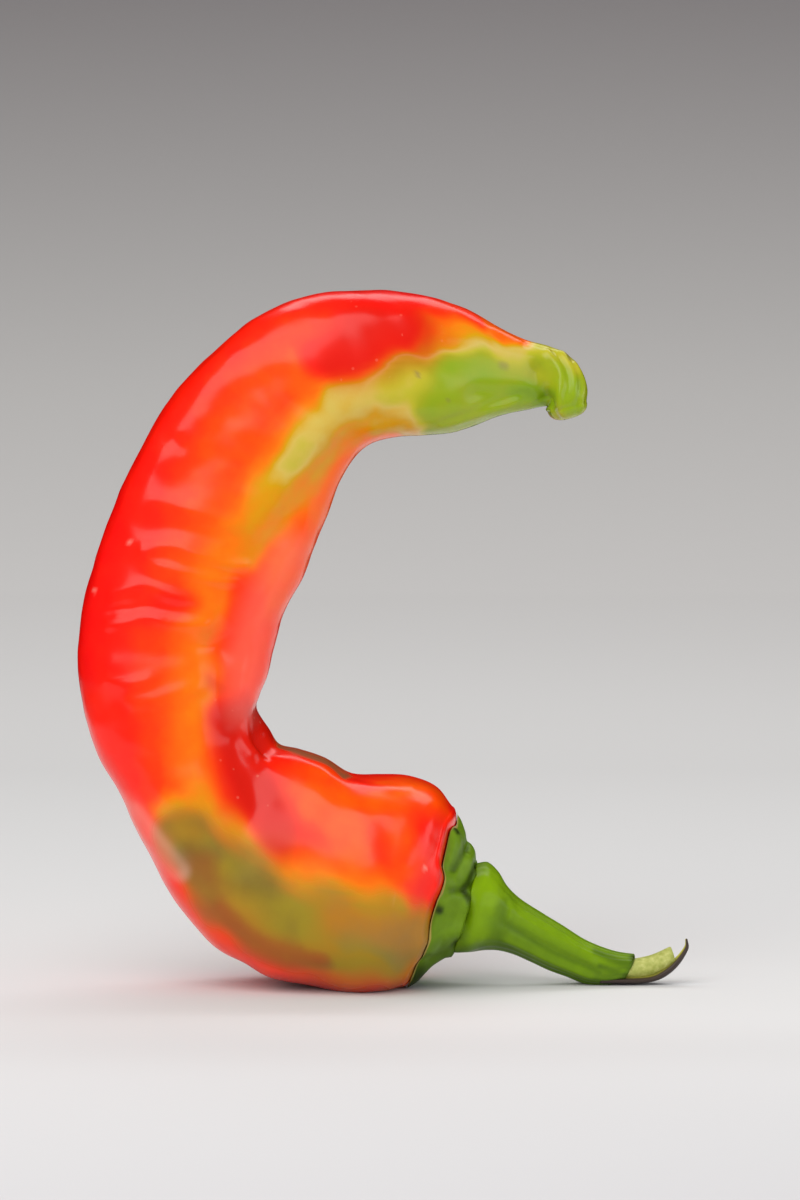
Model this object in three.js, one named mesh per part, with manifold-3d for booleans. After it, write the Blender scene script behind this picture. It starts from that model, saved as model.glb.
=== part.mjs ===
// A ripening chilli pepper that stands curled like a letter C on its belly and its stem.
// Units are millimetres. +Z is up, X runs across the curl and Y from its front (-Y) to its back.
import * as THREE from 'three';
import { mergeVertices } from 'three/addons/utils/BufferGeometryUtils.js';
import Module from 'manifold-3d';

const wasm = await Module();
wasm.setup();

// Gap between neighbouring pieces, and the size of the block that stands for the ground.
const GAP = 0.3;
const GROUND_SIZE = 200;
// Power on the sine and cosine of a section: 1 is an oval, and less is squarer.
const POD_SQUARENESS = 0.7;
const GREEN_SQUARENESS = 0.92;

// Ribs of the pod from the calyx round the curl to the tip. Each rib is
// [outer x, outer z, inner x, inner z, half depth in y].
const POD_RIBS = [
  [3.6, -0.2, 13.8, 35.9, 20.4],
  [-0.6, -1.1, 10.4, 39.8, 22.6],
  [-7.4, -1.3, 4.6, 41.7, 22.8],
  [-14.6, -1.3, -1.4, 41.8, 22.0],
  [-21.8, -0.9, -7.0, 42.3, 20.6],
  [-27.8, 2.9, -12.2, 45.5, 19.2],
  [-33.8, 8.0, -17.2, 47.2, 18.0],
  [-39.4, 13.9, -21.2, 48.2, 17.0],
  [-44.2, 20.8, -23.2, 51.4, 16.2],
  [-48.4, 29.0, -25.7, 55.4, 15.5],
  [-52.6, 38.0, -25.0, 58.4, 15.1],
  [-58.0, 48.2, -23.4, 62.2, 14.9],
  [-61.2, 63.2, -22.0, 68.2, 14.8],
  [-60.4, 76.0, -19.8, 75.4, 14.8],
  [-57.2, 87.4, -16.0, 82.6, 14.9],
  [-51.4, 101.8, -11.8, 93.6, 15.1],
  [-44.2, 115.4, -8.0, 102.6, 15.4],
  [-34.6, 126.4, -3.6, 108.0, 15.6],
  [-25.0, 134.1, 2.8, 110.0, 15.7],
  [-13.0, 138.4, 8.6, 110.3, 15.4],
  [-2.0, 139.1, 13.0, 110.7, 14.6],
  [8.0, 138.1, 16.6, 111.8, 13.0],
  [15.6, 135.9, 20.2, 113.0, 10.8],
  [22.6, 131.8, 24.2, 114.3, 8.2],
  [28.0, 129.2, 28.6, 115.4, 6.2],
  [33.0, 127.9, 31.8, 116.0, 5.6],
  [36.6, 126.4, 32.6, 116.0, 6.2],
  [39.2, 123.2, 32.4, 115.8, 6.6],
  [40.4, 119.4, 32.2, 115.2, 6.4],
  [40.2, 117.0, 32.6, 114.8, 5.8],
];
const POD_ENDS = {
  neck: { share: 0.05, rise: 2.4, fullness: 0.6 },
  tip: { share: 0.04, rise: 2.4, fullness: 0.7 },
};
const POD_MESH = { rings: 92, sides: 34 };
const NOSE_RIDGES = { count: 7, height: 0.3, start: 0.9 };

// Dents and ridges of the pod's front: a line through [x, z] points, its height and its width.
const FRONT_RELIEF = [
  { line: [[-4.9, 114.2], [-16.9, 98.8], [-31.5, 80.4], [-34.3, 68.8]], height: -0.9, width: 4.2 },
  { line: [[-34.3, 68.8], [-33.9, 56.8], [-29.9, 44.8], [-24.5, 36.8]], height: -1.4, width: 4.4 },
  { line: [[-24.5, 56.8], [-27.4, 53.2], [-27.5, 49.8], [-26.3, 47.2]], height: 0.8, width: 1.8 },
  { line: [[-23.4, 54.0], [-24.6, 50.6], [-23.2, 48.6]], height: -1.6, width: 2.2 },
  { line: [[18.0, 119.8], [25.0, 118.8], [31.6, 117.4]], height: -0.9, width: 2.6 },
];

// Ribs of the calyx from its rim on the pod to the foot of the stem. Each rib of the green parts is
// [upper x, upper z, lower x, lower z, half depth in y].
const CALYX_RIBS = [
  [13.8, 34.1, 4.9, 0.8, 15.8],
  [14.9, 32.7, 6.6, 1.8, 15.2],
  [15.9, 30.0, 8.4, 3.6, 13.8],
  [16.6, 27.8, 10.4, 5.5, 12.2],
  [17.8, 26.2, 12.2, 6.4, 10.8],
  [18.3, 24.6, 13.3, 6.6, 9.6],
];
const CALYX_ENDS = {
  neck: { share: 0.1, rise: 1.0, fullness: 0.5 },
  tip: { share: 0.15, rise: 1.0, fullness: 0.5 },
};
const CALYX_LOBES = { count: 9, height: 0.6, turn: 0.6 };
const CALYX_MESH = { rings: 14, sides: 54 };

// Ribs of the stem from its flared foot to the torn end.
const STEM_RIBS = [
  [18.6, 24.2, 13.8, 7.0, 8.7],
  [20.6, 24.4, 17.0, 6.9, 8.8],
  [22.8, 22.5, 20.2, 7.1, 7.9],
  [24.6, 19.6, 22.8, 7.0, 6.5],
  [27.0, 17.2, 25.8, 6.2, 5.5],
  [31.4, 14.3, 29.4, 4.6, 4.8],
  [35.8, 11.6, 33.0, 2.9, 4.4],
  [40.2, 8.8, 36.6, 1.6, 4.0],
  [44.2, 7.1, 40.4, 0.1, 3.8],
  [47.0, 6.3, 43.8, -0.2, 3.6],
  [50.0, 5.9, 47.0, 0.4, 3.3],
];
const STEM_ENDS = {
  neck: { share: 0.05, rise: 0.6, fullness: 0.5 },
  tip: { share: 0.05, rise: 0.8, fullness: 0.5 },
};
const STEM_RIDGES = { count: 6, height: 0.25, turn: 0.4 };
const STEM_MESH = { rings: 30, sides: 24 };

// Ribs of the torn end: the pale pith tongue, and the strip of skin that curls up past it.
const PITH_RIBS = [
  [47.1, 4.8, 46.7, 1.2, 2.6],
  [51.2, 5.3, 52.2, 1.4, 2.5],
  [53.9, 6.0, 54.9, 2.2, 2.2],
  [57.2, 7.5, 58.2, 4.3, 1.8],
];
const PEEL_RIBS = [
  [43.9, 2.0, 43.1, 0.2, 3.2],
  [47.3, 1.8, 47.1, 0.2, 3.1],
  [51.1, 1.8, 51.1, 0.2, 2.9],
  [53.7, 2.1, 54.1, 0.6, 2.6],
  [55.7, 3.1, 56.5, 1.6, 2.2],
  [57.7, 4.6, 58.7, 3.4, 1.8],
  [59.4, 6.4, 60.3, 5.6, 1.3],
  [60.3, 7.8, 61.1, 7.4, 1.0],
  [60.4, 8.7, 60.9, 8.8, 0.6],
];
const TORN_ENDS = {
  neck: { share: 0.06, rise: 0.3, fullness: 0.3 },
  tip: { share: 0.06, rise: 0.4, fullness: 0.3 },
};
const TORN_MESH = { rings: 20, sides: 12 };

// A smooth curve through one edge of a rib table, with the half depth as its third number.
function edgeCurve(ribs, column) {
  const points = ribs.map((rib) => new THREE.Vector3(rib[column], rib[column + 1], rib[4]));
  return new THREE.CatmullRomCurve3(points, false, 'centripetal');
}

// The rib at a share of the way along a rib table: its middle, its half span and its half depth.
function ribReader(ribs) {
  const outer = edgeCurve(ribs, 0);
  const inner = edgeCurve(ribs, 2);
  return (share) => {
    const a = outer.getPoint(share);
    const b = inner.getPoint(share);
    return {
      middle: new THREE.Vector3((a.x + b.x) / 2, 0, (a.y + b.y) / 2),
      span: new THREE.Vector3((a.x - b.x) / 2, 0, (a.y - b.y) / 2),
      depth: a.z,
    };
  };
}

// A sine or cosine drawn out towards its ends, which makes an oval a little squarer.
function squared(value, power) {
  return Math.sign(value) * Math.abs(value) ** power;
}

// The skin over a rib table, rounded off at both ends and pushed out by grow and by relief.
function ribSkin(ribs, ends, squareness, grow, relief) {
  const read = ribReader(ribs);
  const free = 1 - ends.neck.share - ends.tip.share;
  return (along, around) => {
    const rib = read(THREE.MathUtils.clamp((along - ends.neck.share) / free, 0, 1));
    const atNeck = along < ends.neck.share;
    const end = atNeck ? ends.neck : ends.tip;
    const turn = (Math.PI / 2) * Math.min(1, (atNeck ? along : 1 - along) / end.share);
    const size = Math.sin(turn) ** end.fullness;
    const swell = grow + relief(along, around, rib);
    const wide = (rib.span.length() + swell) * size * squared(Math.cos(around), squareness);
    const deep = (rib.depth + swell) * size * squared(Math.sin(around), squareness);
    const rise = (end.rise + grow) * Math.cos(turn) * (atNeck ? -1 : 1);
    const across = rib.span.clone().normalize();
    const onward = new THREE.Vector3(across.z, 0, -across.x);
    const point = rib.middle.clone().addScaledVector(across, wide).addScaledVector(onward, rise);
    point.y = -deep;
    return point;
  };
}

// A manifold solid from a geometry, with its doubled seam points joined.
function solid(shape) {
  shape.deleteAttribute('normal');
  shape.deleteAttribute('uv');
  const merged = mergeVertices(shape, 1e-3);
  const mesh = new wasm.Mesh({
    numProp: 3,
    vertProperties: new Float32Array(merged.attributes.position.array),
    triVerts: new Uint32Array(merged.index.array),
  });
  return new wasm.Manifold(mesh);
}

// A ball whose points are moved onto a skin, so that the body is closed at both ends.
function skinSolid(skin, { rings, sides }) {
  const shape = new THREE.SphereGeometry(1, sides, rings);
  const { position, uv } = shape.attributes;
  for (let i = 0; i < position.count; i += 1) {
    const point = skin(1 - uv.getY(i), 2 * Math.PI * (1 - uv.getX(i)));
    position.setXYZ(i, point.x, point.y, point.z);
  }
  return solid(shape);
}

// The height of a line of relief at a spot of the front, fading with the distance from the line.
function reliefLine({ line, height, width }) {
  const points = line.map(([x, z]) => new THREE.Vector3(x, 0, z));
  const spots = new THREE.CatmullRomCurve3(points).getPoints(24);
  return (spot) => {
    const away = Math.min(...spots.map((p) => Math.hypot(p.x - spot.x, p.z - spot.z)));
    return height * Math.exp(-((away / width) ** 2));
  };
}

const frontLines = FRONT_RELIEF.map(reliefLine);

function podRelief(along, around, rib) {
  const spot = rib.middle.clone().addScaledVector(rib.span, Math.cos(around));
  const height = frontLines.reduce((sum, line) => sum + line(spot), 0);
  const facing = THREE.MathUtils.clamp(2 * Math.sin(around), 0, 1);
  const nose = THREE.MathUtils.smoothstep(along, NOSE_RIDGES.start, 1);
  return height * facing + NOSE_RIDGES.height * nose * Math.cos(NOSE_RIDGES.count * around);
}

function calyxRelief(along, around) {
  return CALYX_LOBES.height * Math.cos(CALYX_LOBES.count * around + CALYX_LOBES.turn);
}

function stemRelief(along, around) {
  return STEM_RIDGES.height * Math.cos(STEM_RIDGES.count * around + STEM_RIDGES.turn);
}

function noRelief() {
  return 0;
}

function podBody(grow) {
  return skinSolid(ribSkin(POD_RIBS, POD_ENDS, POD_SQUARENESS, grow, podRelief), POD_MESH);
}

function calyxBody(grow) {
  const skin = ribSkin(CALYX_RIBS, CALYX_ENDS, GREEN_SQUARENESS, grow, calyxRelief);
  return skinSolid(skin, CALYX_MESH).subtract(podBody(GAP + grow));
}

function stemBody() {
  const body = (ribs, ends, relief, mesh) =>
    skinSolid(ribSkin(ribs, ends, GREEN_SQUARENESS, 0, relief), mesh);
  const stalk = body(STEM_RIBS, STEM_ENDS, stemRelief, STEM_MESH);
  const pith = body(PITH_RIBS, TORN_ENDS, noRelief, TORN_MESH);
  const peel = body(PEEL_RIBS, TORN_ENDS, noRelief, TORN_MESH);
  return stalk.add(pith).add(peel).subtract(calyxBody(GAP));
}

// The ground below the pepper, taken away so that the belly and the stem rest on flat spots.
function ground() {
  const block = new THREE.BoxGeometry(GROUND_SIZE, GROUND_SIZE, 10);
  block.translate(0, 0, -5);
  return solid(block);
}

function meshOf(name, body, material) {
  const { vertProperties, triVerts } = body.getMesh();
  const shape = new THREE.BufferGeometry();
  shape.setAttribute('position', new THREE.BufferAttribute(vertProperties, 3));
  shape.setIndex(new THREE.BufferAttribute(triVerts, 1));
  shape.computeVertexNormals();
  const mesh = new THREE.Mesh(shape, material);
  mesh.name = name;
  return mesh;
}

function podSkinMaterial() {
  return new THREE.MeshStandardMaterial({ color: '#e8401c', roughness: 0.25, metalness: 0 });
}

function calyxMaterial() {
  return new THREE.MeshStandardMaterial({ color: '#4f7a1e', roughness: 0.5, metalness: 0 });
}

function stemMaterial() {
  return new THREE.MeshStandardMaterial({ color: '#6f9a12', roughness: 0.45, metalness: 0 });
}

const pepper = new THREE.Group();
pepper.name = 'chilli_pepper';
pepper.add(meshOf('pod', podBody(0).subtract(ground()), podSkinMaterial()));
pepper.add(meshOf('calyx', calyxBody(0).subtract(ground()), calyxMaterial()));
pepper.add(meshOf('stem', stemBody().subtract(ground()), stemMaterial()));

export default pepper;
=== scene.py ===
"""A ripening chilli pepper, curled like a letter C and standing on its belly, in a plain studio."""

import bpy
import numpy as np
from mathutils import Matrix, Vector
from mathutils.bvhtree import BVHTree


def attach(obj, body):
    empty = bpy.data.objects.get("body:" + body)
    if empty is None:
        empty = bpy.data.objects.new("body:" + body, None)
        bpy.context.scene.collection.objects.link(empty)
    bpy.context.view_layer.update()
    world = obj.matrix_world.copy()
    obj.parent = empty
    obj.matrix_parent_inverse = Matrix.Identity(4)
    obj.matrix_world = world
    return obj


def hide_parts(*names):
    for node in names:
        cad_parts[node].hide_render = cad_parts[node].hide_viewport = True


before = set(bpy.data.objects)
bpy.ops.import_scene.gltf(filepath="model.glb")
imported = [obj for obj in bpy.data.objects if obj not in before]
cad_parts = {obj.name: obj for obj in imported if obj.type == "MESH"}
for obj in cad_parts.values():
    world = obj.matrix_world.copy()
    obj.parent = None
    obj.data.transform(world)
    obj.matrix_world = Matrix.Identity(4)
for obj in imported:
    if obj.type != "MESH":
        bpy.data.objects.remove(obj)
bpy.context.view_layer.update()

# Ribs, heights and widths are in millimetres, in the frame of the CAD part. The scene is in metres.
MM = 0.001
GAP = 0.3
# Lines of relief and of colour run through (column, row) pixels of the photograph, given on the front
# and guessed on the back, which it doesn't show. Its scale, and the column and the row of the part's
# origin, turn them into millimetres.
MM_PER_PIXEL = 0.2
ORIGIN_COLUMN = 384.5
GROUND_ROW = 984
STEPS_PER_POINT = 8
# Rings and sides of each skin, and of the coarser copy of the pod that the calyx is pressed on.
POD_GRID = (480, 200)
POD_CAP_GRID = (480, 90)
CALYX_GRID = (90, 240)
STEM_GRID = (160, 96)
PITH_GRID = (40, 32)
PEEL_GRID = (60, 32)
# Sine waves whose sum makes a random field: how many, their range of pace, and what evens it out.
WOBBLE = {"waves": 10, "pace": (0.7, 1.4), "spread": 3.2}
# Power on the sine and cosine of a section: 1 is an oval, and less is squarer.
POD_SQUARENESS = 0.7
GREEN_SQUARENESS = 0.92

# Ribs of the pod from the calyx round the curl to the tip: outer x, outer z, inner x, inner z, half
# depth in y. They are the CAD part's, but for the left of the belly, a little clear of the ground.
POD_RIBS = [
    (3.6, -0.2, 13.8, 35.9, 20.4),
    (-0.6, -1.1, 10.4, 39.8, 22.6),
    (-7.4, -1.3, 4.6, 41.7, 22.8),
    (-14.6, 0.2, -1.4, 41.8, 22.0),
    (-21.8, 1.6, -7.0, 42.3, 20.6),
    (-27.8, 4.4, -12.2, 45.5, 19.2),
    (-33.8, 8.0, -17.2, 47.2, 18.0),
    (-39.4, 13.9, -21.2, 48.2, 17.0),
    (-44.2, 20.8, -23.2, 51.4, 16.2),
    (-48.4, 29.0, -25.7, 55.4, 15.5),
    (-52.6, 38.0, -25.0, 58.4, 15.1),
    (-58.0, 48.2, -23.4, 62.2, 14.9),
    (-61.2, 63.2, -22.0, 68.2, 14.8),
    (-60.4, 76.0, -19.8, 75.4, 14.8),
    (-57.2, 87.4, -16.0, 82.6, 14.9),
    (-51.4, 101.8, -11.8, 93.6, 15.1),
    (-44.2, 115.4, -8.0, 102.6, 15.4),
    (-34.6, 126.4, -3.6, 108.0, 15.6),
    (-25.0, 134.1, 2.8, 110.0, 15.7),
    (-13.0, 138.4, 8.6, 110.3, 15.4),
    (-2.0, 139.1, 13.0, 110.7, 14.6),
    (8.0, 138.1, 16.6, 111.8, 13.0),
    (15.6, 135.9, 20.2, 113.0, 10.8),
    (22.6, 131.8, 24.2, 114.3, 8.2),
    (28.0, 129.2, 28.6, 115.4, 6.2),
    (33.0, 127.9, 31.8, 116.0, 5.6),
    (36.6, 126.4, 32.6, 116.0, 6.2),
    (39.2, 123.2, 32.4, 115.8, 6.6),
    (40.4, 119.4, 32.2, 115.2, 6.4),
    (40.2, 117.0, 32.6, 114.8, 5.8),
]
POD_NECK = {"share": 0.05, "rise": 2.4, "fullness": 0.6}
POD_TIP = {"share": 0.04, "rise": 2.4, "fullness": 0.7}
NOSE_RIDGES = {"count": 7, "height": 0.3, "start": 0.9, "calm": 0.6}
# Random swells of the pod's skin: height, wavelength and seed.
POD_SWELLS = [(0.13, 13, 3), (0.03, 5, 4)]
POD_HALF_DEPTH = 16

# Ribs of the calyx and of the stem's parts: upper x, upper z, lower x, lower z, half depth in y.
CALYX_RIBS = [
    (13.8, 34.1, 4.9, 0.8, 15.8),
    (14.9, 32.7, 6.6, 1.8, 15.2),
    (15.9, 30.0, 8.4, 3.6, 13.8),
    (16.6, 27.8, 10.4, 5.5, 12.2),
    (17.8, 26.2, 12.2, 6.4, 10.8),
    (18.3, 24.6, 13.3, 6.6, 9.6),
]
CALYX_NECK = {"share": 0.1, "rise": 1.0, "fullness": 0.5}
CALYX_TIP = {"share": 0.15, "rise": 1.0, "fullness": 0.5}
CALYX_LOBES = {"count": 9, "height": 0.6, "turn": 0.6}
CALYX_UNDERSIDE = {"height": 0.9, "start": 0.5}
CALYX_SWELLS = [(0.3, 7, 21), (0.05, 2.6, 22)]
CALYX_RADIUS = 8
CALYX_LENGTH = 12
# How far from the pod the calyx's dry rim fades out.
CALYX_RIM = (0.05, 0.25)
# Lumps and creases of the calyx's front, and how far past it they spread.
CALYX_FOLD_SPREAD = 0.8
CALYX_FOLDS = [
    (1.1, 2.4, [(452, 832), (450, 850)]),
    (1.0, 2.0, [(464, 850), (467, 864)]),
    (1.4, 3.4, [(452, 898), (454, 914)]),
    (1.2, 1.8, [(465, 904), (464, 916)]),
    (0.7, 2.4, [(436, 940), (444, 936)]),
    (-1.1, 1.0, [(470, 841), (464, 845), (460, 852), (453, 862)]),
    (-0.8, 1.0, [(444, 885), (454, 884), (463, 884)]),
    (-1.0, 1.0, [(475, 864), (468, 876), (462, 884)]),
    (-0.6, 1.4, [(444, 930), (458, 931)]),
]
# Painted light and shade of the calyx's green, from 0, nearly black, to 1, bright: lighter on its
# lumps, darker in its creases and in the tuck by the ground, with two small dark spots of its own.
CALYX_PAINTED_SHADING = [
    (0.60, 1.8, 0.9, [(452, 834), (451, 848)]),
    (0.66, 2.0, 0.9, [(458, 864), (466, 862)]),
    (0.62, 3.4, 0.9, [(452, 896), (456, 914)]),
    (0.34, 0.7, 0.9, [(466, 842), (461, 851), (453, 862)]),
    (0.34, 0.7, 0.9, [(450, 884), (456, 884), (463, 884)]),
    (0.14, 0.6, 0.9, [(475, 862), (469, 874), (463, 884), (469, 898), (470, 912), (464, 926)]),
    (0.14, 0.6, 0.9, [(464, 926), (455, 935), (449, 948)]),
    (0.34, 1.8, 0.9, [(420, 966), (440, 953), (450, 946)]),
    (0.02, 1.5, 0.9, [(404, 981), (413, 975), (422, 968)]),
    (0.08, 0.6, 0.9, [(438, 899), (440, 900)]),
    (0.10, 0.5, 0.8, [(452, 825), (456, 832)]),
]
# Ridges and hollows of the stem's front, and its painted light and shade on the same scale: lighter on
# the flare's top and its ridges, darker beneath and in its hollows, with dark streaks by the torn end.
STEM_FOLDS = [
    (0.9, 2.6, [(468, 890), (474, 900), (472, 920)]),
    (1.4, 2.4, [(458, 940), (466, 938)]),
    (-0.6, 1.2, [(466, 908), (467, 918)]),
    (0.25, 1.1, [(500, 900), (540, 930), (590, 958)]),
    (-0.2, 0.7, [(503, 918), (550, 947), (600, 970)]),
    (0.2, 0.9, [(508, 935), (550, 957), (590, 972)]),
    (0.3, 0.8, [(508, 893), (512, 905), (507, 922)]),
]
STEM_PAINTED_SHADING = [
    (0.95, 2.6, 0.9, [(472, 890), (486, 880), (490, 896)]),
    (0.80, 2.0, 0.9, [(474, 905), (480, 925)]),
    (0.40, 1.6, 0.9, [(494, 945), (500, 925), (503, 905)]),
    (0.30, 1.4, 0.9, [(455, 946), (475, 944), (500, 948)]),
    (0.22, 1.8, 0.9, [(505, 945), (545, 966), (580, 981), (615, 983)]),
    (0.70, 1.4, 0.9, [(515, 908), (555, 931), (600, 955)]),
    (0.34, 0.4, 0.9, [(503, 918), (550, 947), (600, 970)]),
    (0.55, 0.8, 0.9, [(508, 935), (550, 957), (590, 972)]),
    (0.66, 0.5, 0.9, [(509, 900), (511, 912)]),
    (0.30, 0.7, 0.9, [(596, 950), (620, 960), (640, 966)]),
    (0.32, 0.5, 0.9, [(600, 964), (620, 971), (634, 974)]),
    (0.00, 0.9, 0.9, [(636, 955), (634, 968), (622, 981)]),
]

STEM_RIBS = [
    (18.6, 24.2, 13.8, 7.0, 8.7),
    (20.6, 24.4, 17.0, 6.9, 8.8),
    (22.8, 22.5, 20.2, 7.1, 7.9),
    (24.6, 19.6, 22.8, 7.0, 6.5),
    (27.0, 17.2, 25.8, 6.2, 5.5),
    (31.4, 14.3, 29.4, 4.6, 4.8),
    (35.8, 11.6, 33.0, 2.9, 4.4),
    (40.2, 8.8, 36.6, 1.6, 4.0),
    (44.2, 7.1, 40.4, 0.1, 3.8),
    (47.0, 6.3, 43.8, -0.2, 3.6),
    (50.0, 5.9, 47.0, 0.4, 3.3),
]
STEM_NECK = {"share": 0.05, "rise": 0.6, "fullness": 0.5}
STEM_TIP = {"share": 0.05, "rise": 0.8, "fullness": 0.5}
STEM_RIDGES = {"count": 6, "height": 0.14, "turn": 0.4}
STEM_FIBRES = {"count": 17, "height": 0.06, "twist": 3}

PITH_RIBS = [
    (47.1, 4.8, 46.7, 1.2, 2.6),
    (51.2, 5.3, 52.2, 1.4, 2.5),
    (53.9, 6.0, 54.9, 2.2, 2.2),
    (57.2, 7.5, 58.2, 4.3, 1.8),
]
PEEL_RIBS = [
    (43.9, 2.0, 43.1, 0.2, 3.2),
    (47.3, 1.8, 47.1, 0.2, 3.1),
    (51.1, 1.8, 51.1, 0.2, 2.9),
    (53.7, 2.1, 54.1, 0.6, 2.6),
    (55.7, 3.1, 56.5, 1.6, 2.2),
    (57.7, 4.6, 58.7, 3.4, 1.8),
    (59.4, 6.4, 60.3, 5.6, 1.3),
    (60.3, 7.8, 61.1, 7.4, 1.0),
    (60.4, 8.7, 60.9, 8.8, 0.6),
]
TORN_NECK = {"share": 0.06, "rise": 0.3, "fullness": 0.3}
TORN_TIP = {"share": 0.06, "rise": 0.4, "fullness": 0.3}

# Folds of the pod's front that the CAD part has too: height, half width, then the line's points.
FRONT_FOLDS = [
    (-0.9, 4.2, [(360, 413), (300, 490), (227, 582), (213, 640)]),
    (-1.4, 4.4, [(213, 640), (215, 700), (235, 760), (262, 800)]),
    (0.8, 1.8, [(262, 700), (247.5, 718), (247, 735), (253, 748)]),
    (-1.6, 2.2, [(267.5, 714), (261.5, 731), (268.5, 741)]),
    (-0.9, 2.6, [(474.5, 385), (509.5, 390), (542.5, 397)]),
]
# The rounded shoulder next to the calyx. The skin drops towards the calyx, less at the curl's two
# edges, and is shifted along the curl by waves, so that the shoulder's edge runs out and in.
SHOULDER = {"share": 0.06, "drop": 1.8, "less_at_edge": 0.8, "edge": (0.6, 0.95),
            "shift": 0.6, "waves_end": (0.04, 0.13)}
SHOULDER_WAVES = [
    (1.0, 3.2, [(457, 822), (449, 852)]),
    (-1.9, 2.4, [(446, 874), (443, 884)]),
    (-1.9, 3.0, [(430, 930), (427, 950)]),
    (0.5, 2.5, [(420, 970), (418, 974)]),
]
# Finer relief: wrinkles across the limb, whose crests catch the light, and soft lengthwise folds.
FRONT_WRINKLES = [
    (0.41, 1.2, [(126, 586), (146, 582), (160, 580), (174, 584), (186, 591)]),
    (0.27, 1.0, [(122, 598), (135, 594), (146, 592)]),
    (0.43, 1.2, [(122, 617), (138, 615), (150, 613), (165, 611), (180, 615), (197, 619)]),
    (0.27, 1.0, [(155, 607), (163, 606), (172, 610)]),
    (0.35, 1.1, [(121, 671), (137, 674), (153, 673), (163, 670)]),
    (0.41, 2.0, [(150, 690), (170, 688), (188, 682)]),
    (0.46, 1.3, [(160, 543), (176, 542), (192, 542), (205, 550), (222, 558), (235, 558)]),
    (0.41, 1.3, [(163, 551), (172, 560), (190, 566), (208, 572), (226, 574)]),
    (0.35, 1.6, [(172, 497), (190, 500), (205, 507), (222, 518)]),
    (-0.45, 2.6, [(152, 521), (185, 524), (212, 527)]),
    (-0.46, 1.8, [(125, 604), (150, 602), (190, 604)]),
    (-0.30, 2.4, [(118, 640), (160, 642), (200, 642)]),
    (-0.50, 1.6, [(180, 438), (190, 441), (197, 445)]),
    (1.0, 5.0, [(146, 512), (160, 465), (190, 425), (235, 362)]),
    (-0.6, 4.2, [(190, 485), (222, 452), (250, 412), (280, 382)]),
    (0.5, 3.6, [(245, 512), (285, 455), (325, 412), (375, 388)]),
    (0.46, 1.1, [(278, 752), (300, 757), (320, 766), (335, 777), (370, 781), (411, 783)]),
    (-0.7, 5.6, [(236, 742), (250, 785), (256, 825)]),
    (0.6, 5.0, [(350, 790), (358, 830), (370, 868)]),
    (-0.35, 3.6, [(330, 905), (337, 940), (334, 972)]),
    (-0.30, 3.0, [(165, 812), (190, 850), (212, 893)]),
    (0.46, 1.1, [(497, 328), (505, 334), (517, 342)]),
    (0.41, 1.4, [(450, 340), (485, 343), (515, 352), (545, 358)]),
    (0.24, 1.0, [(440, 420), (480, 408), (515, 398)]),
    (-0.20, 1.0, [(440, 413), (480, 400), (515, 391)]),
    (0.45, 0.9, [(547, 352), (557, 372), (562, 402)]),
    (0.45, 0.9, [(561, 351), (571, 374), (569, 404)]),
    (0.40, 0.9, [(574, 362), (580, 384), (575, 406)]),
    (-0.35, 0.7, [(553, 350), (564, 373), (565, 403)]),
    (-0.35, 0.7, [(568, 356), (576, 380), (572, 405)]),
    (-0.9, 1.6, [(536, 372), (544, 388), (547, 402)]),
]

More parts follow.
